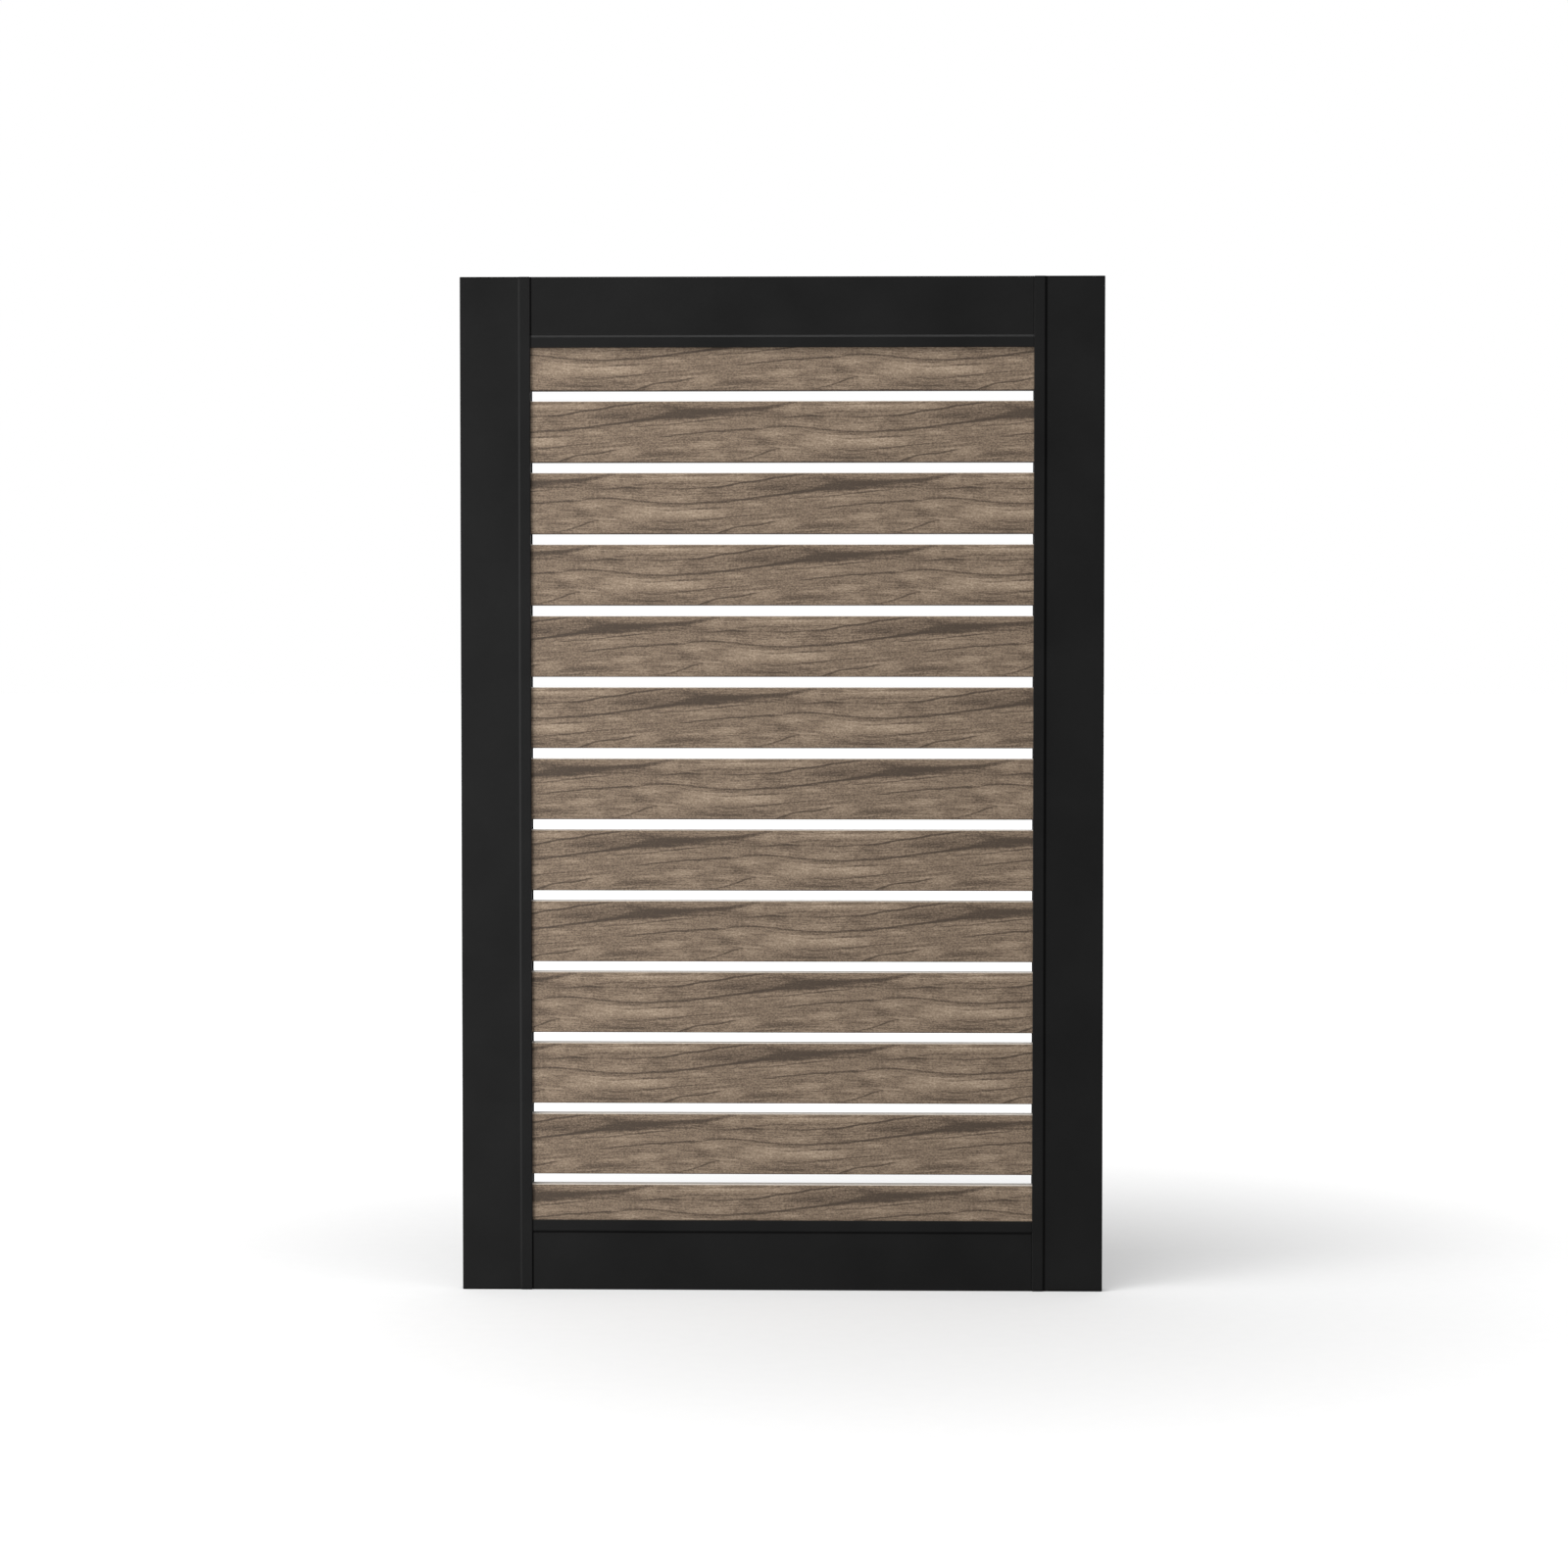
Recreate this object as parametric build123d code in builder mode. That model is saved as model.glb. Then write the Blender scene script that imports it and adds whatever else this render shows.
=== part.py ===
import os

from build123d import *

os.makedirs("parts", exist_ok=True)

# Aluminium slat gate leaf. Millimetres, +Z up, front towards -Y.
# The origin is the centre of the outer face of the hinge-side upright.

# Leaf
leaf_width = 950.0
leaf_height = 1500.0

# Frame extrusion, shared by uprights and rails
face_width = 86.0
shoulder_width = 18.0
shoulder_rise = 2.0
shoulder_bevel = 3.0
frame_wall = 2.5
frame_corner_radius = 1.5
shoulder_edge_radius = 0.8
slot_depth = 37.0
chamber_radius = 1.0

# Slats
slat_height = 90.0
slat_thickness = 25.0
slat_wall = 1.4
slat_rib = 1.2
slat_cells = 3
slat_edge_radius = 2.0
slat_side_clearance = 0.5
slat_end_clearance = 2.0
slat_top_clearance = 10.0
slat_gap_aim = 15.5

# Spacers between the slat ends
spacer_wall = 3.0
spacer_clearance = 0.4
spacer_setback = 1.5

# End caps on the uprights
cap_thickness = 2.0
cap_edge = 0.7
cap_plug_depth = 15.0
cap_plug_wall = 1.8
cap_plug_clearance = 0.3

# Sizes that follow
member_width = face_width + shoulder_width
slot_width = slat_thickness + 2 * slat_side_clearance
member_depth = slot_width + 2 * frame_wall
shoulder_depth = member_depth + 2 * shoulder_rise
slot_floor = member_width - slot_depth
chamber_width = slot_floor - 2 * frame_wall
chamber_depth = member_depth - 2 * frame_wall
chamber_middle = slot_floor / 2
stile_length = leaf_height - 2 * cap_thickness
rail_length = leaf_width - 2 * member_width
slat_length = leaf_width - 2 * (slot_floor + slat_end_clearance)
stack_height = leaf_height - 2 * slot_floor - slat_top_clearance
slat_count = round((stack_height + slat_gap_aim) / (slat_height + slat_gap_aim))
slat_gap = (stack_height - slat_count * slat_height) / (slat_count - 1)
slat_pitch = slat_height + slat_gap
stack_bottom = slot_floor - leaf_height / 2
spacer_length = slot_depth - spacer_setback
spacer_width = slot_width - 2 * spacer_clearance


def frame_outline():
    """Closed outline of the extrusion from its outer face to its inner shoulder, slot left out."""
    half = member_depth / 2
    high = shoulder_depth / 2
    with BuildLine() as rim:
        Polyline(
            (0, -half),
            (face_width, -half),
            (face_width + shoulder_bevel, -high),
            (member_width, -high),
            (member_width, high),
            (face_width + shoulder_bevel, high),
            (face_width, half),
            (0, half),
            close=True,
        )
    make_face(rim.edges())
    fillet(vertices().group_by(Axis.X)[0], frame_corner_radius)
    fillet(vertices().group_by(Axis.X)[-1], shoulder_edge_radius)


def frame_section():
    """The hollow extrusion: one closed chamber and a slot that the slat ends and edges slide into."""
    frame_outline()
    with Locations((chamber_middle, 0)):
        RectangleRounded(chamber_width, chamber_depth, chamber_radius, mode=Mode.SUBTRACT)
    with Locations((member_width, 0)):
        Rectangle(2 * slot_depth, slot_width, mode=Mode.SUBTRACT)


def slat_section():
    """Hollow slat standing on its lower edge, with ribs between equal cells."""
    cell_height = (slat_height - 2 * slat_wall - (slat_cells - 1) * slat_rib) / slat_cells
    with Locations((0, slat_height / 2)):
        RectangleRounded(slat_thickness, slat_height, slat_edge_radius)
        with GridLocations(0, cell_height + slat_rib, 1, slat_cells):
            Rectangle(slat_thickness - 2 * slat_wall, cell_height, mode=Mode.SUBTRACT)


# Planes of the frame members: X runs from the outer face to the opening, Z along the member
hinge_stile_plane = Plane((0, 0, -stile_length / 2), x_dir=(1, 0, 0), z_dir=(0, 0, 1))
latch_stile_plane = Plane((leaf_width, 0, -stile_length / 2), x_dir=(-1, 0, 0), z_dir=(0, 0, 1))
bottom_rail_plane = Plane((member_width, 0, -leaf_height / 2), x_dir=(0, 0, 1), z_dir=(1, 0, 0))
top_rail_plane = Plane((member_width, 0, leaf_height / 2), x_dir=(0, 0, -1), z_dir=(1, 0, 0))

# Frame members
frame_members = (
    ("hinge_stile", hinge_stile_plane, stile_length),
    ("latch_stile", latch_stile_plane, stile_length),
    ("bottom_rail", bottom_rail_plane, rail_length),
    ("top_rail", top_rail_plane, rail_length),
)
for label, plane, length in frame_members:
    with BuildPart() as member:
        with BuildSketch(plane):
            frame_section()
        extrude(amount=length)
    member.part.label = label
    export_step(member.part, f"parts/{label}.step")

# End caps: a plate with the outline of the extrusion and a hollow plug in its chamber
end_caps = (
    ("hinge_stile_bottom_cap", hinge_stile_plane, -1),
    ("hinge_stile_top_cap", hinge_stile_plane.offset(stile_length), 1),
    ("latch_stile_bottom_cap", latch_stile_plane, -1),
    ("latch_stile_top_cap", latch_stile_plane.offset(stile_length), 1),
)
plug_width = chamber_width - 2 * cap_plug_clearance
plug_thickness = chamber_depth - 2 * cap_plug_clearance
for label, plane, way in end_caps:
    with BuildPart() as cap:
        with BuildSketch(plane):
            frame_outline()
        extrude(amount=way * cap_thickness)
        outer_face = cap.faces().sort_by(Axis.Z)[-1 if way > 0 else 0]
        chamfer(outer_face.edges(), cap_edge)
        with BuildSketch(plane):
            with Locations((chamber_middle, 0)):
                RectangleRounded(plug_width, plug_thickness, chamber_radius)
                Rectangle(
                    plug_width - 2 * cap_plug_wall,
                    plug_thickness - 2 * cap_plug_wall,
                    mode=Mode.SUBTRACT,
                )
        extrude(amount=-way * cap_plug_depth)
    cap.part.label = label
    export_step(cap.part, f"parts/{label}.step")

# Slats, numbered from the lowest, which stands on the floor of the bottom rail's slot
for index in range(slat_count):
    slat_origin = (slot_floor + slat_end_clearance, 0, stack_bottom + index * slat_pitch)
    with BuildPart() as slat:
        with BuildSketch(Plane(slat_origin, x_dir=(0, 1, 0), z_dir=(1, 0, 0))):
            slat_section()
        extrude(amount=slat_length)
    slat.part.label = f"slat_{index + 1:02d}"
    export_step(slat.part, f"parts/{slat.part.label}.step")

# Spacers: one in each gap at both ends of the slats, standing on the slat below
spacer_sides = (
    ("hinge_side_spacers", slot_floor + spacer_length / 2),
    ("latch_side_spacers", leaf_width - slot_floor - spacer_length / 2),
)
for label, middle in spacer_sides:
    with BuildPart() as spacers:
        for index in range(slat_count - 1):
            gap_bottom = stack_bottom + slat_height + index * slat_pitch
            with BuildSketch(Plane((middle, 0, gap_bottom))):
                RectangleRounded(spacer_length, spacer_width, slat_edge_radius)
                Rectangle(
                    spacer_length - 2 * spacer_wall,
                    spacer_width - 2 * spacer_wall,
                    mode=Mode.SUBTRACT,
                )
            extrude(amount=slat_gap)
    spacers.part.label = label
    export_step(spacers.part, f"parts/{label}.step")
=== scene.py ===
import math

import bmesh
import bpy
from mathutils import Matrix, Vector


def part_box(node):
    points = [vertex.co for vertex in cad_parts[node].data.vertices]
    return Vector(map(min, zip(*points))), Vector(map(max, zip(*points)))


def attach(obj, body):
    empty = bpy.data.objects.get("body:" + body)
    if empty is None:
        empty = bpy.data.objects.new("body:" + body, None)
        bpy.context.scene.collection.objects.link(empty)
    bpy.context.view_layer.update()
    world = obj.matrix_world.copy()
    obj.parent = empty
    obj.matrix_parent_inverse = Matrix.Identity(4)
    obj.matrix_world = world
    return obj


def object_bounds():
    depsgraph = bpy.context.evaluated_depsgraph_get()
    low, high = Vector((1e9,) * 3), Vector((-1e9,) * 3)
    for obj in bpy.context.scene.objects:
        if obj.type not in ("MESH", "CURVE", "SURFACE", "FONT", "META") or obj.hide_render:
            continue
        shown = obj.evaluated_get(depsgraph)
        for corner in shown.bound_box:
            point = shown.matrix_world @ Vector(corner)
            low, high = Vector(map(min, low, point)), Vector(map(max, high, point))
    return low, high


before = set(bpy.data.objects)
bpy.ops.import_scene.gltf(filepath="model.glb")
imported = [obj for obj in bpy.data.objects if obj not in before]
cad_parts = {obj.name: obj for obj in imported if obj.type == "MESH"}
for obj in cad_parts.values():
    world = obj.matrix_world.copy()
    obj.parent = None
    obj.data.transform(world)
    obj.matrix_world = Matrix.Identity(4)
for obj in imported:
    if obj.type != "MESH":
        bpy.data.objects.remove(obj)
cad_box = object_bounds()

MM = 0.001
TURN = 2.0 * math.pi
WHITE = (1.0, 1.0, 1.0, 1.0)

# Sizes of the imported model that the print, the coats and the screws follow, in metres
SLAT_HEIGHT = 0.090
SLAT_COUNT = 13
FACE_WIDTH = 0.086
SHOULDER_RISE = 0.002

# Length of one repeat of the wood print, and where the tip of its large smudge lies in it, in metres
PRINT_LENGTH = 0.503
SMUDGE_TIP = 0.444
# Where that tip lies on each slat, from the lowest up, in metres from the hinge side, read off the photograph.
# The rail hides it on the highest slat, where it follows from the branch at the lower edge.
SMUDGE_TIP_AT = (0.733, 0.354, 0.597, 0.620, 0.389, 0.408, 0.765, 0.473, 0.330, 0.651, 0.679, 0.444, 0.559)
# How much further along the print is on the back of a slat, as a share of the repeat
BACK_SHIFT = 0.37

# Figure of the wood print over one repeat, in millimetres along the slat and down from its upper edge.
# A line is a row of points: along, down, half width, darkness.
FIGURE_LINES = (
    # upper line
    ((0, 22.6, 1.6, 0.55), (15, 21.8, 1.9, 0.6), (29, 22.2, 1.7, 0.5), (45, 22.5, 1.2, 0.16),
     (73, 23.1, 1.2, 0.15), (97, 23.7, 1.3, 0.35), (113, 22.6, 1.3, 0.4), (131, 22.1, 1.5, 0.45),
     (145, 21.5, 1.7, 0.6), (160, 19.0, 1.9, 0.7), (171, 16.7, 1.7, 0.7), (181, 14.5, 1.6, 0.75),
     (200, 12.8, 1.6, 0.7), (215, 10.4, 1.7, 0.65), (229, 7.5, 1.7, 0.6), (244, 5.8, 1.7, 0.55),
     (255, 4.1, 1.6, 0.4), (276, 1.7, 1.5, 0)),
    # upper line, far end
    ((476, 24.1, 1.2, 0), (491, 23.7, 1.5, 0.4), (504, 22.6, 1.6, 0.55)),
    # long line
    ((0, 38.3, 1.5, 0.42), (15, 39.6, 1.5, 0.32), (29, 41.4, 1.5, 0.28), (44, 43.2, 1.5, 0.26),
     (58, 44.7, 1.5, 0.28), (87, 45.3, 1.5, 0.38), (102, 45.6, 1.6, 0.5), (116, 44.7, 1.7, 0.68),
     (131, 43.5, 1.9, 0.75), (145, 43.2, 1.7, 0.75), (160, 42.1, 1.9, 0.85), (174, 40.3, 1.7, 0.8),
     (189, 38.9, 1.7, 0.85), (203, 37.0, 1.9, 0.9), (218, 34.8, 2.2, 1), (232, 33.1, 2.2, 1),
     (247, 31.3, 2.0, 0.95), (264, 29.0, 2.2, 0.95), (279, 27.0, 2.3, 1), (293, 25.0, 2.6, 1),
     (308, 23.5, 2.6, 0.8), (327, 22.6, 2.6, 0.4), (348, 22.1, 2.2, 0)),
    # under line
    ((258, 38.3, 1.2, 0), (276, 36.9, 1.2, 0.25), (296, 36.0, 1.3, 0.3), (322, 33.1, 1.3, 0.35),
     (343, 30.8, 1.3, 0.32), (363, 28.7, 1.3, 0.35), (377, 27.0, 1.3, 0.3), (395, 25.5, 1.3, 0.2),
     (418, 23.2, 1.3, 0)),
    # low line
    ((284, 53.7, 1.2, 0), (299, 52.5, 1.3, 0.2), (311, 51.4, 1.3, 0.35), (322, 49.6, 1.5, 0.42),
     (337, 48.3, 1.5, 0.42), (351, 46.9, 1.5, 0.48), (366, 45.4, 1.5, 0.5), (380, 44.6, 1.5, 0.5),
     (395, 43.5, 1.5, 0.45), (409, 42.5, 1.6, 0.5), (424, 41.5, 1.6, 0.5), (438, 41.2, 1.5, 0.4),
     (448, 40.6, 1.5, 0.18), (456, 38.6, 1.5, 0.2), (464, 37.7, 1.6, 0.55), (479, 37.6, 1.6, 0.52),
     (493, 37.7, 1.6, 0.5), (504, 38.2, 1.5, 0.45)),
    # lower branch
    ((145, 88.5, 1.3, 0), (152, 86.5, 1.6, 0.65), (160, 84.3, 1.6, 0.7), (167, 81.6, 1.6, 0.65),
     (174, 79.7, 1.5, 0.62), (183, 78.7, 1.5, 0.6), (193, 77.8, 1.5, 0.62), (203, 77.1, 1.5, 0.6),
     (215, 74.7, 1.5, 0.55), (225, 72.7, 1.3, 0.35), (237, 71.1, 1.2, 0)),
    # far branch
    ((412, 87.1, 1.2, 0), (421, 85.0, 1.3, 0.35), (431, 82.7, 1.5, 0.45), (441, 79.4, 1.6, 0.55),
     (453, 74.9, 1.6, 0.5), (463, 71.7, 1.3, 0.4), (475, 69.1, 1.2, 0)),
    # light edge
    ((41, 69.1, 1.5, 0), (55, 70.5, 1.7, 0.14), (73, 72.6, 2.0, 0.16), (87, 73.1, 2.0, 0.16),
     (102, 72.0, 1.7, 0.17), (116, 70.5, 1.6, 0.19), (131, 68.9, 1.6, 0.24), (145, 67.5, 1.6, 0.28),
     (160, 65.3, 1.6, 0.25), (174, 63.9, 1.6, 0.24), (192, 63.3, 1.6, 0.2), (218, 61.0, 1.6, 0)),
    # foot streak
    ((17, 83.9, 1.5, 0), (35, 83.6, 1.6, 0.1), (61, 83.4, 1.7, 0.17), (84, 83.6, 1.6, 0.15),
     (104, 83.3, 1.5, 0)),
    # head streak
    ((15, 18.3, 1.3, 0), (32, 17.4, 1.3, 0.1), (60, 16.0, 1.6, 0.15), (90, 16.3, 1.6, 0.15),
     (107, 16.0, 1.3, 0.06), (142, 14.4, 1.2, 0.14), (174, 13.1, 1.2, 0.15), (192, 12.5, 1.2, 0)),
    # under shade
    ((44, 45.9, 1.3, 0), (61, 47.3, 1.9, 0.13), (78, 48.8, 2.0, 0.15), (96, 48.2, 1.9, 0.14),
     (110, 47.0, 1.5, 0)),
    # between lights
    ((58, 55.7, 1.0, 0), (75, 55.1, 1.2, 0.25), (102, 54.3, 1.2, 0.28), (122, 53.4, 1.2, 0.28),
     (151, 52.2, 1.0, 0)),
)
# Broad smudges, described like the lines.
FIGURE_SMUDGES = (
    # smudge
    ((239, 31.3, 1.4, 0), (261, 28.3, 1.7, 0.5), (279, 25.8, 2.3, 0.75), (294, 23.9, 3.0, 0.95),
     (308, 21.4, 4.2, 1.1), (327, 19.2, 4.7, 1.2), (345, 17.8, 4.5, 1.25), (363, 16.3, 3.9, 1.25),
     (381, 15.2, 3.3, 1.2), (399, 14.1, 3.0, 1.15), (417, 13.4, 2.8, 1.1), (435, 12.0, 2.9, 1.1),
     (450, 10.5, 2.6, 0.95), (464, 8.0, 2.3, 0.7), (482, 4.4, 1.8, 0.4), (500, 1.2, 1.7, 0)),
    # smudge fringe
    ((290, 27.0, 2.0, 0), (308, 26.1, 2.3, 0.3), (327, 25.0, 2.5, 0.35), (345, 23.5, 2.3, 0.35),
     (363, 21.5, 2.1, 0.35), (386, 20.6, 1.7, 0.3), (408, 20.6, 1.6, 0.3), (430, 19.2, 1.5, 0.3),
     (448, 16.8, 1.5, 0.22), (464, 14.5, 1.5, 0)),
)
# A patch is a soft oval: along, down, half length, half height, lightness.
FIGURE_PATCHES = (
    (87, 8, 87, 6.5, 0.42),
    (177, 8, 38, 5.8, 0.4),
    (102, 60, 90, 9.4, 0.5),
    (26, 62, 46, 14.0, 0.28),
    (529, 62, 46, 14.0, 0.28),
    (49, 52, 58, 4.5, 0.2),
    (200, 46, 26, 4.0, 0.36),
    (363, 65, 34, 6.5, 0.38),
    (308, 68, 29, 3.2, 0.32),
    (485, 73, 29, 12.3, 0.34),
    (438, 70, 35, 3.5, 0.32),
    (386, 80, 17, 4.9, 0.26),
    (460, 49, 35, 8.0, 0.26),
    (239, 73, 26, 10.9, 0.24),
    (328, 38, 32, 6.5, 0.26),
    (493, 9, 23, 8.7, 0.2),
    (109, 47, 20, 2.6, 0.35),
    (75, 38, 44, 5.2, 0.22),
    (276, 83, 9, 4.4, 0.1),
    (60, 80, 95, 11.5, -0.16),
    (134, 82, 30, 7.0, -0.24),
    (284, 80, 39, 8.7, -0.42),
    (328, 79, 44, 7.5, -0.46),
    (281, 46, 30, 7.0, -0.2),
    (402, 80, 25, 10.9, -0.26),
    (448, 61, 29, 8.7, -0.18),
    (395, 67, 38, 4.9, -0.18),
    (238, 21, 66, 14.0, -0.4),
    (19, 26, 19, 5.2, -0.2),
    (142, 30, 38, 9.4, -0.2),
    (299, 9, 60, 9.0, -0.4),
    (345, 16, 85, 12.0, -0.28),
    (453, 26, 44, 11.6, -0.12),
    (250, 58, 58, 8.7, -0.14),
    (348, 57, 58, 6.5, -0.12),
    (435, 54, 38, 4.4, -0.16),
)

# How far lines, smudges and patches reach, in their own half sizes, and how strong they are
LINE_SPREAD = 1.1
LINE_TONE = 1.6
SMUDGE_SPREAD = 1.9
SMUDGE_TONE = 0.85
FIGURE_TONE = 1.42
FIGURE_LIMIT = 2.1
PATCH_SPREAD = 1.1
PATCH_TONE = 0.74

# Curves hold half widths and darkness at these scales, so that they stay between 0 and 1
WIDTH_SCALE = 10.0
DARK_SCALE = 0.8
DARK_POWER = 0.9

# Grains of the print: length along the slat and height across it in metres, detail and roughness of noise
GRAINS = {
    "cloud": (0.120, 0.0055, 3.0, 0.5),
    "streak": (0.060, 0.0024, 2.0, 0.55),
    "fibre": (0.020, 0.0012, 2.0, 0.6),
    "stipple": (0.0030, 0.0016, 2.0, 0.65),
    "wander": (0.012, 0.006, 2.0, 0.5),
}
GRAIN_TONES = {"cloud": 0.24, "streak": 0.58, "fibre": 0.92, "stipple": 1.22}
# The grains rise and fall once over a repeat: height in metres, and where it is greatest, as a share
SWAY = 0.006
SWAY_START = 0.2
# How much grains shift the lines, smudges and patches, as shares of the slat's height, and break them up
LINE_SHIFT = 0.010
SMUDGE_SHIFT = 0.05
PATCH_SHIFTS = (("cloud", 0.06), ("streak", 0.09))
LINE_BREAKS = 0.6
SMUDGE_BREAKS = 2.2

# Where painted shade darkens a slat's lower edge and pale painted light takes the print's place on its upper
# edge, as shares of the height
LOWER_EDGE = (0.984, 0.996)
LOWER_EDGE_PAINTED_SHADE = 0.34
UPPER_EDGE = (0.003, 0.009)

# Display colours of the print from dark to light, their gain in linear light, and the pale colours of the
# painted light on a slat's upper edge
PRINT_COLOURS = ((72, 59, 47), (99, 83, 68), (127, 109, 91), (151, 132, 112), (174, 155, 133))
PRINT_GAIN = 0.70
PAINTED_LIGHT_COLOURS = ((0.55, 0.50, 0.44), (0.65, 0.60, 0.54))

# Gloss and roughness of the print, and height of its grain in metres
PRINT_GLOSS = 0.3
PRINT_ROUGHNESS = 0.56
PRINT_ROUGHNESS_RANGE = 0.16
PRINT_FIBRE_RELIEF = 0.6
PRINT_BUMP = 0.25
PRINT_RELIEF = 0.0002

# Black coats: darkest and lightest grey, roughness, size of the pebbled skin in metres, gloss
FRAME_COAT = (0.0022, 0.0042, 0.46, 0.0011, 0.15)
CAP_COAT = (0.0010, 0.0020, 0.58, 0.0006, 0.05)
SPACER_COAT = (0.0025, 0.0050, 0.62, 0.0008, 0.15)
SCREW_COAT = (0.006, 0.010, 0.38, 0.0004, 0.15)
# Their clouding as noise scale and detail, and the skin's detail, roughness and share of the mix
COAT_CLOUDS = (9.0, 3.0)
COAT_SKIN = (2.0, 0.6)
SKIN_SHARE = 0.35
COAT_RANGE = (0.32, 0.68)
COAT_ROUGHNESS_RANGE = 0.25
COAT_BUMP = 0.35
COAT_RELIEF = 0.3
# The rails lose sheen beside the uprights: a dark joint line together with painted shade of the step, which is
# stronger at the left end. Width in metres and share lost at the left and the right end
LEFT_JOINT_AND_SHADE = (0.0026, 0.85)
RIGHT_JOINT_AND_SHADE = (0.0022, 0.30)
# Painted shade in the same way along the outer edge of the shoulder on the right upright and on the bottom
# rail, where the bevel faces away from the light
LATCH_CREASE_SHADE = (0.0022, 0.80)
FOOT_CREASE_SHADE = (0.0022, 0.70)
JOINT_CORE = 0.4

# Fixing screws on the back of each corner, in metres
SCREW_RADIUS = 0.0042
SCREW_RISE = 0.0018
SCREW_INSETS = (0.020, 0.048)
SCREW_ON_STILE = 0.0275
SCREW_ON_RAIL = 0.028
SCREW_SIDES = 24
# Outline of a head from rim to socket and of the six-sided socket: share of the radius, share of the rise
HEAD_OUTLINE = ((1.0, 0.0), (1.0, 0.25), (0.94, 0.55), (0.8, 0.82), (0.62, 0.97), (0.5, 1.0))
SOCKET_OUTLINE = ((0.46, 1.0), (0.46, 0.35))

# Studio: floor, lights and camera, in metres, watts and degrees
FLOOR_DROP = 0.0005
FLOOR_REACH = 60.0
FLOOR_GREYS = (0.54, 0.56)
FLOOR_ROUGHNESS = 0.9
FLOOR_SPECKLES = 40.0
FLOOR_BUMP = 0.02
FLOOR_RELIEF = 0.001
FLOOR_LIFT = (0.24, 0.66)
FLOOR_LIFT_REACH = (0.4, 2.4)
LEAF_MIDDLE = (0.475, 0.0, 0.0)
KEY_STRENGTH = 1.40
KEY_PLACE = (-2.2, -3.6, 4.2)
KEY_ANGLE = 50
# Light panels: power, place, the point that they face, width and height
PANELS = {
    "side": (84.0, (-2.2, -2.6, -0.08), (0.25, 0.0, -0.65), 1.6, 1.3),
    "above": (10.0, (0.45, -0.42, 1.75), (0.45, 0.0, 0.66), 1.4, 0.4),
    "edge": (6.0, (-0.95, -0.45, 0.0), (0.09, 0.0, 0.0), 0.4, 2.0),
}
# Glow of the surroundings: where it is brightest, over which cosines it grades, and its levels
GLOW_FROM = (-0.62, -0.30, 0.72)
GLOW_RANGE = (-0.7, 0.9)
GLOW_LEVELS = (0.02, 0.79)
BACK_GLOW_RANGE = (0.25, 0.85)
CAMERA_LENS = 85.0
CAMERA_SENSOR = 36.0
CAMERA_PLACE = (0.6064, -5.4824, 0.2155)
CAMERA_TILT = 2.2265
CAMERA_TURN = 1.3432


class Nodes:
    """Adds shader nodes to one tree and links them."""

    def __init__(self, tree):
        self.tree = tree

    def add(self, kind, inputs=None, **settings):
        node = self.tree.nodes.new(kind)
        for key, value in settings.items():
            setattr(node, key, value)
        for key, value in (inputs or {}).items():
            if isinstance(value, bpy.types.NodeSocket):
                self.tree.links.new(value, node.inputs[key])
            else:
                node.inputs[key].default_value = value
        return node

    def math(self, operation, a, b=0.0, c=0.0):
        return self.add("ShaderNodeMath", {0: a, 1: b, 2: c}, operation=operation).outputs[0]

    def smooth(self, value, start, end, low=0.0, high=1.0):
        inputs = {"Value": value, "From Min": start, "From Max": end, "To Min": low, "To Max": high}
        return self.add("ShaderNodeMapRange", inputs, interpolation_type="SMOOTHSTEP").outputs[0]

    def noise(self, vector, scale, detail=2.0, roughness=0.5):
        inputs = {"Vector": vector, "Scale": scale, "Detail": detail, "Roughness": roughness}
        return self.add("ShaderNodeTexNoise", inputs).outputs["Fac"]

    def place(self, output="Object"):
        return self.add("ShaderNodeTexCoord").outputs[output]

    def axes(self, vector):
        return self.add("ShaderNodeSeparateXYZ", {0: vector}).outputs

    def camera_ray(self):
        return self.add("ShaderNodeLightPath").outputs["Is Camera Ray"]

    def curve(self, value, points):
        node = self.add("ShaderNodeFloatCurve", {"Value": value})
        curve = node.mapping.curves[0]
        curve.points[0].location = points[0]
        curve.points[1].location = points[-1]
        for point in points[1:-1]:
            curve.points.new(*point)
        for point in curve.points:
            point.handle_type = "AUTO_CLAMPED"
        node.mapping.extend = "HORIZONTAL"
        node.mapping.update()
        return node.outputs[0]

    def ramp(self, value, stops):
        node = self.add("ShaderNodeValToRGB", {"Fac": value})
        elements = node.color_ramp.elements
        while len(elements) < len(stops):
            elements.new(0.5)
        for element, (place, colour) in zip(elements, stops):
            element.position = place
            element.color = (*colour, 1.0)
        return node.outputs["Color"]


def linear(red, green, blue, gain=1.0):
    """Display colour, 0 to 255, as linear light."""
    def channel(value):
        value /= 255.0
        return value / 12.92 if value <= 0.04045 else ((value + 0.055) / 1.055) ** 2.4
    return tuple(gain * channel(value) for value in (red, green, blue))


def grey(level):
    return (level, level, level)


def place_on_print(n, given):
    """Where a point lies on the print: u along it and v down the slat, as shares, and metres down."""
    x, y, z = n.axes(n.place())
    behind = n.math("MULTIPLY", n.math("GREATER_THAN", y, 0.0), BACK_SHIFT)
    along = n.math("MULTIPLY_ADD", x, 1.0 / PRINT_LENGTH, given["Start"])
    u = n.math("FRACT", n.math("ADD", along, behind))
    down = n.math("SUBTRACT", given["Top"], z)
    v = n.math("DIVIDE", down, SLAT_HEIGHT)
    return u, v, down


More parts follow.
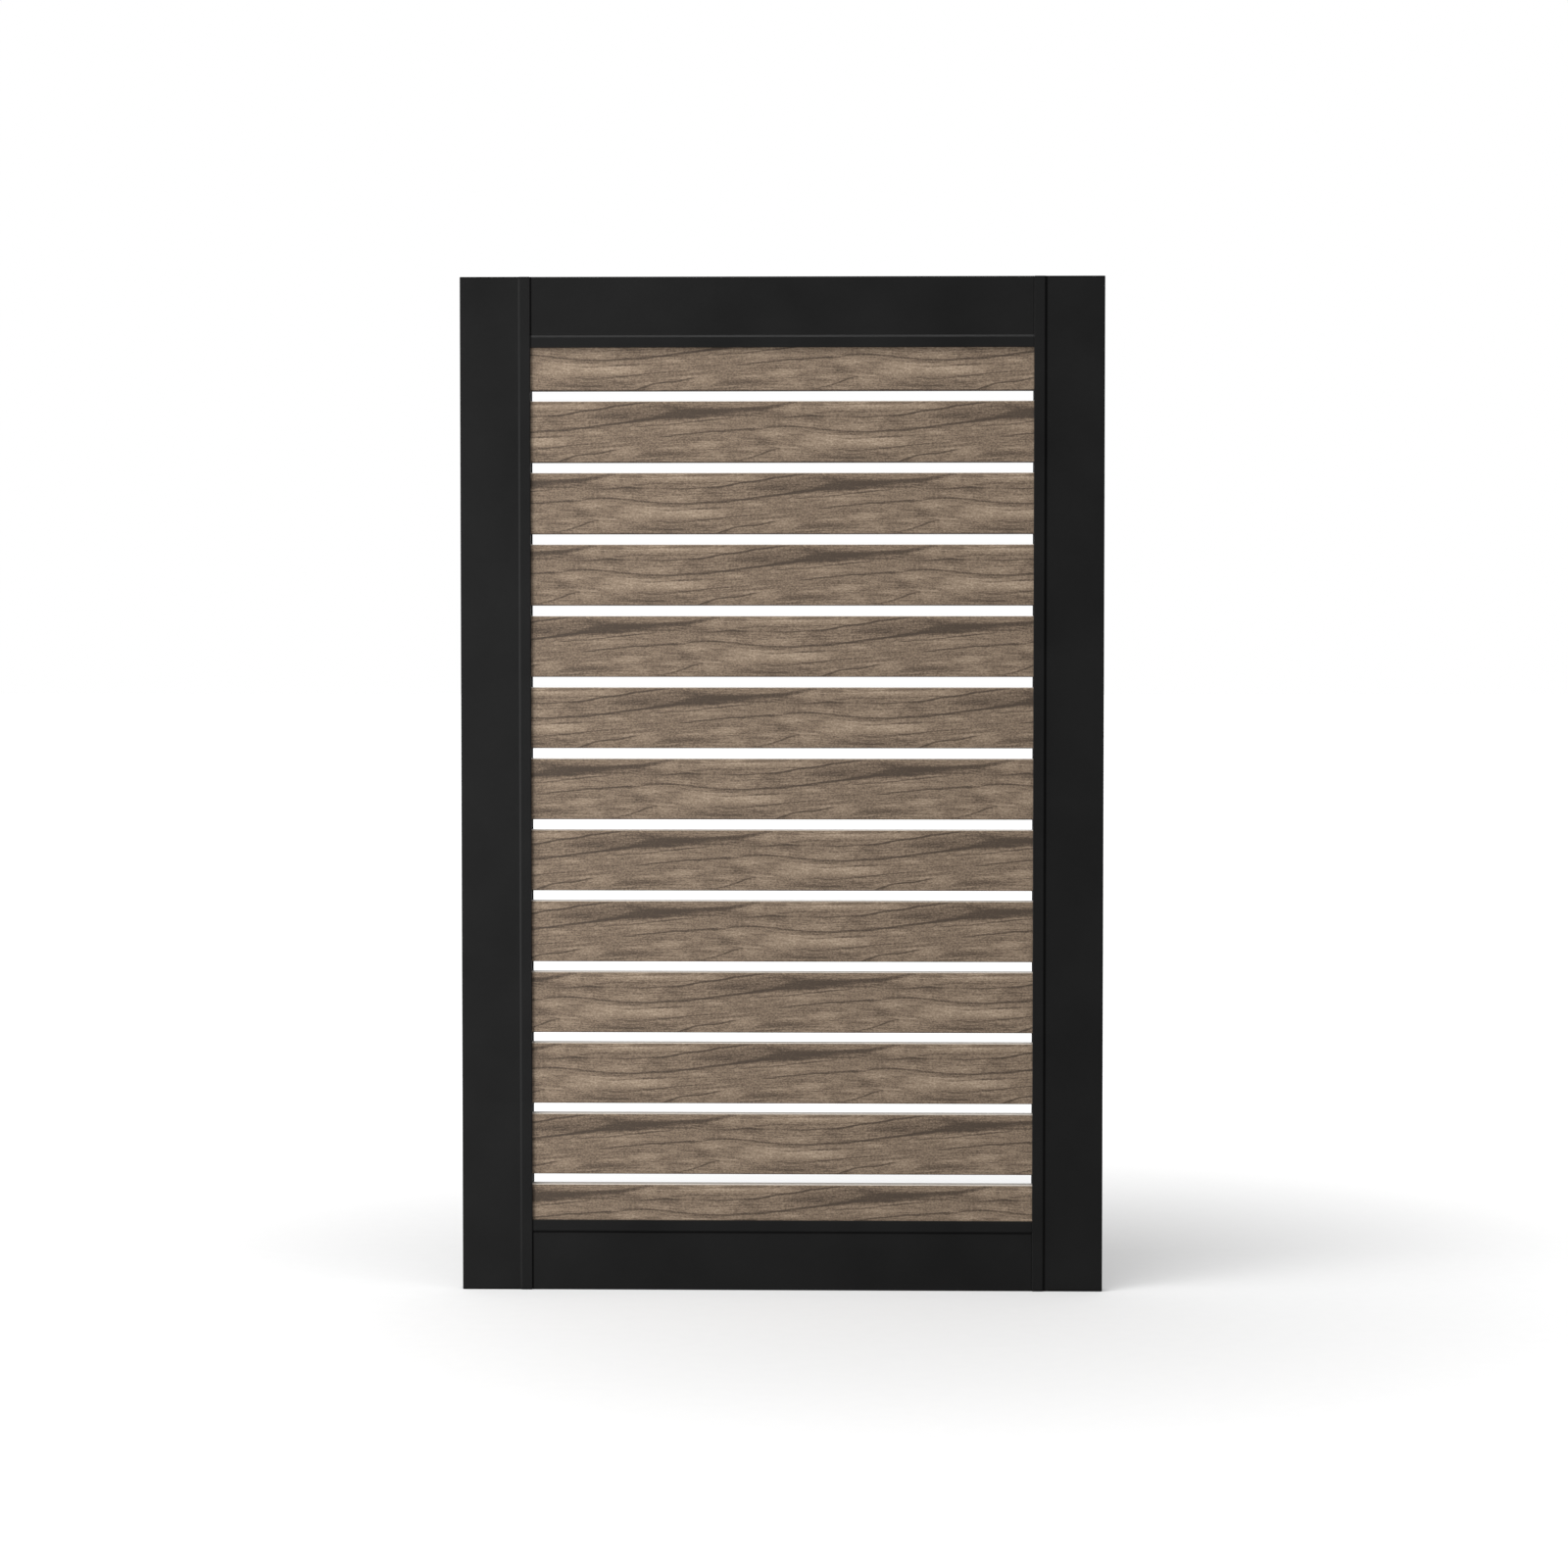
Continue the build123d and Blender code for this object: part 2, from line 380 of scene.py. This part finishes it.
def make_grains(n, u, down):
    """Noises drawn out along the slat, centred on 0, on a ring that closes where the print repeats."""
    turn = n.math("MULTIPLY", u, TURN)
    radius = PRINT_LENGTH / TURN
    ring_x = n.math("MULTIPLY", n.math("COSINE", turn), radius)
    ring_y = n.math("MULTIPLY", n.math("SINE", turn), radius)
    sway = n.math("COSINE", n.math("SUBTRACT", turn, SWAY_START * TURN))
    flow = n.math("MULTIPLY_ADD", sway, -SWAY, down)
    grains = {}
    for name, (length, height, detail, roughness) in GRAINS.items():
        vector = n.add("ShaderNodeCombineXYZ", {
            0: n.math("DIVIDE", ring_x, length),
            1: n.math("DIVIDE", ring_y, length),
            2: n.math("DIVIDE", flow, height),
        }).outputs[0]
        grains[name] = n.math("SUBTRACT", n.noise(vector, 1.0, detail, roughness), 0.5)
    return grains


def draw_stroke(n, u, points, across, spread, breaks):
    """Darkness of one line or smudge: full on its path, fading to 0 over its width."""
    run = [along * MM / PRINT_LENGTH for along, _, _, _ in points]
    downs = [down * MM / SLAT_HEIGHT for _, down, _, _ in points]
    widths = [WIDTH_SCALE * half_width * MM / SLAT_HEIGHT for _, _, half_width, _ in points]
    darks = [DARK_SCALE * dark ** DARK_POWER for _, _, _, dark in points]
    path, width, depth = (n.curve(u, list(zip(run, values))) for values in (downs, widths, darks))
    off = n.math("ABSOLUTE", n.math("SUBTRACT", across, path))
    near = n.smooth(n.math("DIVIDE", off, width), spread / WIDTH_SCALE, 0.0)
    return n.math("MULTIPLY", n.math("MULTIPLY", near, depth), breaks)


def draw_figure(n, u, v, grains):
    """Darkness of all lines and smudges together, held back where they lie over each other."""
    line_across = n.math("MULTIPLY_ADD", grains["wander"], LINE_SHIFT, v)
    line_breaks = n.math("MULTIPLY_ADD", grains["fibre"], LINE_BREAKS, 1.0)
    smudge_across = n.math("MULTIPLY_ADD", grains["streak"], SMUDGE_SHIFT, line_across)
    smudge_breaks = n.math("MULTIPLY_ADD", grains["streak"], SMUDGE_BREAKS, 1.0)
    drawn = 0.0
    for points in FIGURE_LINES:
        line = draw_stroke(n, u, points, line_across, LINE_SPREAD, line_breaks)
        drawn = n.math("MULTIPLY_ADD", line, LINE_TONE / DARK_SCALE, drawn)
    for points in FIGURE_SMUDGES:
        smudge = draw_stroke(n, u, points, smudge_across, SMUDGE_SPREAD, smudge_breaks)
        drawn = n.math("MULTIPLY_ADD", smudge, SMUDGE_TONE / DARK_SCALE, drawn)
    return n.math("DIVIDE", drawn, n.math("MULTIPLY_ADD", drawn, FIGURE_LIMIT, 1.0))


def add_patches(n, u, v, grains, tone):
    """Tone with the light and dark ovals laid over it."""
    ragged = v
    for name, amount in PATCH_SHIFTS:
        ragged = n.math("MULTIPLY_ADD", grains[name], amount, ragged)
    spot = n.add("ShaderNodeCombineXYZ", {0: u, 1: ragged}).outputs[0]
    for along, down, half_length, half_height, strength in FIGURE_PATCHES:
        size = (PRINT_LENGTH / (half_length * MM), SLAT_HEIGHT / (half_height * MM), 0.0)
        shift = (-along / half_length, -down / half_height, 0.0)
        away = n.add("ShaderNodeVectorMath", {0: spot, 1: size, 2: shift}, operation="MULTIPLY_ADD")
        away = n.add("ShaderNodeVectorMath", {0: away.outputs[0]}, operation="LENGTH").outputs["Value"]
        tone = n.math("ADD", tone, n.smooth(away, PATCH_SPREAD, 0.0, 0.0, PATCH_TONE * strength))
    return tone


def colour_print(n, v, grains, tone):
    """Colour of the print, with pale painted light in its place on the slat's upper edge."""
    steps = len(PRINT_COLOURS) - 1
    stops = [(step / steps, linear(*colour, PRINT_GAIN)) for step, colour in enumerate(PRINT_COLOURS)]
    colour = n.ramp(tone, stops)
    # Painted light: the upper edge, lit from above, gets pale colours in place of the print
    speckle = n.math("ADD", grains["stipple"], 0.5)
    painted_light = n.ramp(speckle, list(enumerate(PAINTED_LIGHT_COLOURS)))
    painted_light_mask = n.smooth(v, *UPPER_EDGE, 1.0, 0.0)
    return n.add("ShaderNodeMix", {"Factor": painted_light_mask, 6: colour, 7: painted_light}, data_type="RGBA").outputs[2]


def make_print_group():
    """Wood print that wraps along a slat: figure, tone patches, streaks, fibres and stipple."""
    tree = bpy.data.node_groups.new("wood_print", "ShaderNodeTree")
    for name, way, kind in (
        ("Start", "INPUT", "NodeSocketFloat"),
        ("Top", "INPUT", "NodeSocketFloat"),
        ("Color", "OUTPUT", "NodeSocketColor"),
        ("Roughness", "OUTPUT", "NodeSocketFloat"),
        ("Height", "OUTPUT", "NodeSocketFloat"),
    ):
        tree.interface.new_socket(name, in_out=way, socket_type=kind)
    n = Nodes(tree)
    u, v, down = place_on_print(n, n.add("NodeGroupInput").outputs)
    grains = make_grains(n, u, down)
    tone = n.math("MULTIPLY_ADD", draw_figure(n, u, v, grains), -FIGURE_TONE, 0.5)
    tone = add_patches(n, u, v, grains, tone)
    for name, amount in GRAIN_TONES.items():
        tone = n.math("MULTIPLY_ADD", grains[name], amount, tone)
    # Painted shade over the slat's lower edge, which faces down away from the light
    tone = n.math("ADD", tone, n.smooth(v, *LOWER_EDGE, 0.0, -LOWER_EDGE_PAINTED_SHADE))
    n.add("NodeGroupOutput", {
        "Color": colour_print(n, v, grains, tone),
        "Roughness": n.math("MULTIPLY_ADD", grains["fibre"], PRINT_ROUGHNESS_RANGE, PRINT_ROUGHNESS),
        "Height": n.math("MULTIPLY_ADD", grains["fibre"], PRINT_FIBRE_RELIEF, tone),
    })
    return tree


def new_material(name):
    material = bpy.data.materials.new(name)
    material.use_nodes = True
    material.node_tree.nodes.clear()
    return material, Nodes(material.node_tree)


def finish_material(n, shader_inputs, height, strength, distance):
    bump = n.add("ShaderNodeBump", {"Height": height, "Strength": strength, "Distance": distance})
    shader = n.add("ShaderNodeBsdfPrincipled", {**shader_inputs, "Normal": bump.outputs[0]})
    n.add("ShaderNodeOutputMaterial", {"Surface": shader.outputs[0]})


def make_slat_material(group, index, top):
    """Matt wood print on one slat, which begins at its own place in the repeat."""
    material, n = new_material(f"slat_print_{index + 1:02d}")
    wood = n.add("ShaderNodeGroup", node_tree=group)
    wood.inputs["Start"].default_value = (SMUDGE_TIP - SMUDGE_TIP_AT[index]) / PRINT_LENGTH
    wood.inputs["Top"].default_value = top
    shader_inputs = {
        "Base Color": wood.outputs["Color"],
        "Roughness": wood.outputs["Roughness"],
        "Specular IOR Level": PRINT_GLOSS,
    }
    finish_material(n, shader_inputs, wood.outputs["Height"], PRINT_BUMP, PRINT_RELIEF)
    return material


def make_coat_material(name, coat, joint_and_crease_shade=()):
    """Black coat with a fine pebbled skin, slight clouding and uneven sheen, dull along given joints and
    creases: dark joint lines and painted shade.
    """
    dark, light, roughness, pebble, gloss = coat
    material, n = new_material(name)
    place = n.place()
    cloud = n.noise(place, *COAT_CLOUDS)
    skin = n.noise(place, 1.0 / pebble, *COAT_SKIN)
    mixed = n.math("MULTIPLY_ADD", skin, SKIN_SHARE, n.math("MULTIPLY", cloud, 1.0 - SKIN_SHARE))
    # Sheen taken away along each given line: painted shade, and at the rail ends also a dark joint line
    for axis, where, (width, loss) in joint_and_crease_shade:
        off = n.math("ABSOLUTE", n.math("SUBTRACT", n.axes(place)[axis], where))
        gloss = n.math("MULTIPLY", gloss, n.smooth(off, JOINT_CORE * width, width, 1.0 - loss, 1.0))
    uneven = n.math("SUBTRACT", mixed, 0.5)
    shader_inputs = {
        "Base Color": n.ramp(mixed, list(zip(COAT_RANGE, (grey(dark), grey(light))))),
        "Roughness": n.math("MULTIPLY_ADD", uneven, COAT_ROUGHNESS_RANGE, roughness),
        "Specular IOR Level": gloss,
    }
    finish_material(n, shader_inputs, skin, COAT_BUMP, COAT_RELIEF * pebble)
    return material


def dress(node, material):
    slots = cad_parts[node].data.materials
    slots.clear()
    slots.append(material)


def dress_slats():
    print_group = make_print_group()
    for index in range(SLAT_COUNT):
        node = f"slat_{index + 1:02d}"
        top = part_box(node)[1][2]
        dress(node, make_slat_material(print_group, index, top))


def dress_frame():
    """Coats on the uprights, rails, caps and spacers."""
    left_end, right_end = (corner[0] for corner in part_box("top_rail"))
    # Sheen lost at the rail ends: a dark joint line with painted shade of the step, stronger at the left end
    rail_joints_and_shade = ((0, left_end, LEFT_JOINT_AND_SHADE), (0, right_end, RIGHT_JOINT_AND_SHADE))
    # Painted shade: sheen taken away along the shoulder's outer edge on the right upright and the bottom rail
    latch_crease_shade = (0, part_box("latch_stile")[1][0] - FACE_WIDTH, LATCH_CREASE_SHADE)
    foot_crease_shade = (2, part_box("bottom_rail")[0][2] + FACE_WIDTH, FOOT_CREASE_SHADE)
    dress("hinge_stile", make_coat_material("frame_coat", FRAME_COAT))
    dress("latch_stile", make_coat_material("frame_coat_latch_crease_shade", FRAME_COAT, (latch_crease_shade,)))
    dress("top_rail", make_coat_material("frame_coat_rails_joint_shade", FRAME_COAT, rail_joints_and_shade))
    dress("bottom_rail", make_coat_material("frame_coat_foot_joint_and_crease_shade", FRAME_COAT, (*rail_joints_and_shade, foot_crease_shade)))
    cap_plastic = make_coat_material("cap_plastic", CAP_COAT)
    spacer_plastic = make_coat_material("spacer_plastic", SPACER_COAT)
    for side in ("hinge", "latch"):
        dress(f"{side}_stile_top_cap", cap_plastic)
        dress(f"{side}_stile_bottom_cap", cap_plastic)
        dress(f"{side}_side_spacers", spacer_plastic)


def screw_places():
    """Centres of the screw heads: pairs on both sides of each line where a rail meets an upright."""
    face_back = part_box("hinge_stile")[1][1] - SHOULDER_RISE
    places = []
    for rail, way in (("top_rail", -1), ("bottom_rail", 1)):
        low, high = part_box(rail)
        outer_edge = high[2] if way < 0 else low[2]
        for inset in SCREW_INSETS:
            level = outer_edge + way * inset
            for end, inward in ((low[0], 1), (high[0], -1)):
                places.append((end - inward * SCREW_ON_STILE, face_back, level))
                places.append((end + inward * SCREW_ON_RAIL, face_back, level))
    return places


def hexagon_share(angle):
    """Distance from the middle of a hexagon to its side, as a share of that to its corner."""
    return math.cos(TURN / 12) / math.cos(angle % (TURN / 6) - TURN / 12)


def add_ring(work, centre, radius, rise, hexagon=False):
    """Ring of vertices round a screw's axis, as a circle or a hexagon."""
    x, y, z = centre
    ring = []
    for step in range(SCREW_SIDES):
        angle = TURN * step / SCREW_SIDES
        reach = radius * hexagon_share(angle) if hexagon else radius
        ring.append(work.verts.new((x + reach * math.cos(angle), y + rise, z + reach * math.sin(angle))))
    return ring


def build_screw(work, centre):
    """Button head facing +Y: a domed rim round a six-sided socket."""
    rings = []
    for share, lift in HEAD_OUTLINE:
        rings.append(add_ring(work, centre, SCREW_RADIUS * share, SCREW_RISE * lift))
    for share, lift in SOCKET_OUTLINE:
        rings.append(add_ring(work, centre, SCREW_RADIUS * share, SCREW_RISE * lift, hexagon=True))
    for low, high in zip(rings, rings[1:]):
        for step in range(SCREW_SIDES):
            after = (step + 1) % SCREW_SIDES
            wall = work.faces.new((low[step], low[after], high[after], high[step]))
            wall.smooth = True
    work.faces.new(rings[-1])
    work.faces.new(list(reversed(rings[0])))


def add_object(name, mesh, material):
    mesh.materials.append(material)
    thing = bpy.data.objects.new(name, mesh)
    bpy.context.scene.collection.objects.link(thing)
    return thing


def add_screws():
    """Fixing screws of the hidden corner joiners."""
    mesh = bpy.data.meshes.new("corner_screws")
    work = bmesh.new()
    for centre in screw_places():
        build_screw(work, centre)
    bmesh.ops.recalc_face_normals(work, faces=work.faces)
    work.to_mesh(mesh)
    work.free()
    screws = add_object("corner_screws", mesh, make_coat_material("screw_black", SCREW_COAT))
    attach(screws, "root")


def add_floor():
    """White floor just under the leaf, brightened for the camera away from the leaf's foot."""
    level = cad_box[0][2] - FLOOR_DROP
    corners = [(x * FLOOR_REACH, y * FLOOR_REACH, level) for x, y in ((-1, -1), (1, -1), (1, 1), (-1, 1))]
    mesh = bpy.data.meshes.new("floor")
    mesh.from_pydata(corners, [], [(0, 1, 2, 3)])
    material, n = new_material("floor_white")
    place = n.place()
    speckle = n.noise(place, FLOOR_SPECKLES)
    foot = (LEAF_MIDDLE[0], LEAF_MIDDLE[1], level)
    away = n.add("ShaderNodeVectorMath", {0: place, 1: foot}, operation="DISTANCE").outputs["Value"]
    lift = n.smooth(away, *FLOOR_LIFT_REACH, *FLOOR_LIFT)
    shader_inputs = {
        "Base Color": n.ramp(speckle, [(stop, grey(shade)) for stop, shade in enumerate(FLOOR_GREYS)]),
        "Roughness": FLOOR_ROUGHNESS,
        "Specular IOR Level": 0.0,
        "Emission Color": WHITE,
        "Emission Strength": n.math("MULTIPLY", lift, n.camera_ray()),
    }
    finish_material(n, shader_inputs, speckle, FLOOR_BUMP, FLOOR_RELIEF)
    floor = add_object("floor", mesh, material)


def add_light(name, kind, energy, place, target, **settings):
    light = bpy.data.lights.new(name, kind)
    light.energy = energy
    for key, value in settings.items():
        setattr(light, key, value)
    thing = bpy.data.objects.new(name, light)
    thing.location = place
    thing.rotation_euler = (Vector(target) - Vector(place)).to_track_quat("-Z", "Y").to_euler()
    bpy.context.scene.collection.objects.link(thing)


def add_lights():
    """Broad soft key from the upper left, and panels low left, over the top and by the left upright."""
    add_light("key", "SUN", KEY_STRENGTH, KEY_PLACE, LEAF_MIDDLE, angle=math.radians(KEY_ANGLE))
    for name, (power, place, target, width, height) in PANELS.items():
        add_light(name, "AREA", power, place, target, shape="RECTANGLE", size=width, size_y=height)


def add_world():
    """Surroundings that the camera sees white and that light the leaf from the upper left and behind."""
    world = bpy.data.worlds.new("studio")
    bpy.context.scene.world = world
    world.use_nodes = True
    world.node_tree.nodes.clear()
    n = Nodes(world.node_tree)
    direction = n.place("Generated")
    toward = n.add("ShaderNodeVectorMath", {0: direction, 1: GLOW_FROM}, operation="DOT_PRODUCT")
    glow = n.smooth(toward.outputs["Value"], *GLOW_RANGE, *GLOW_LEVELS)
    glow = n.math("MAXIMUM", glow, n.smooth(n.axes(direction)[1], *BACK_GLOW_RANGE))
    ambient = n.add("ShaderNodeBackground", {"Color": WHITE, "Strength": glow})
    seen = n.add("ShaderNodeBackground", {"Color": WHITE, "Strength": 1.0})
    chosen = n.add("ShaderNodeMixShader", {0: n.camera_ray(), 1: ambient.outputs[0], 2: seen.outputs[0]})
    n.add("ShaderNodeOutputWorld", {"Surface": chosen.outputs[0]})


def add_camera():
    """Camera placed so that the outer corners and the slat gaps fall where the photograph has them."""
    lens = bpy.data.cameras.new("camera")
    lens.lens = CAMERA_LENS
    lens.sensor_width = CAMERA_SENSOR
    camera = bpy.data.objects.new("camera", lens)
    camera.location = CAMERA_PLACE
    camera.rotation_euler = (math.radians(90.0 - CAMERA_TILT), 0.0, math.radians(CAMERA_TURN))
    bpy.context.scene.collection.objects.link(camera)
    bpy.context.scene.camera = camera


dress_slats()
dress_frame()
add_screws()
add_floor()
bpy.context.scene.view_settings.view_transform = "Standard"
bpy.context.scene.view_settings.look = "None"
add_lights()
add_world()
add_camera()
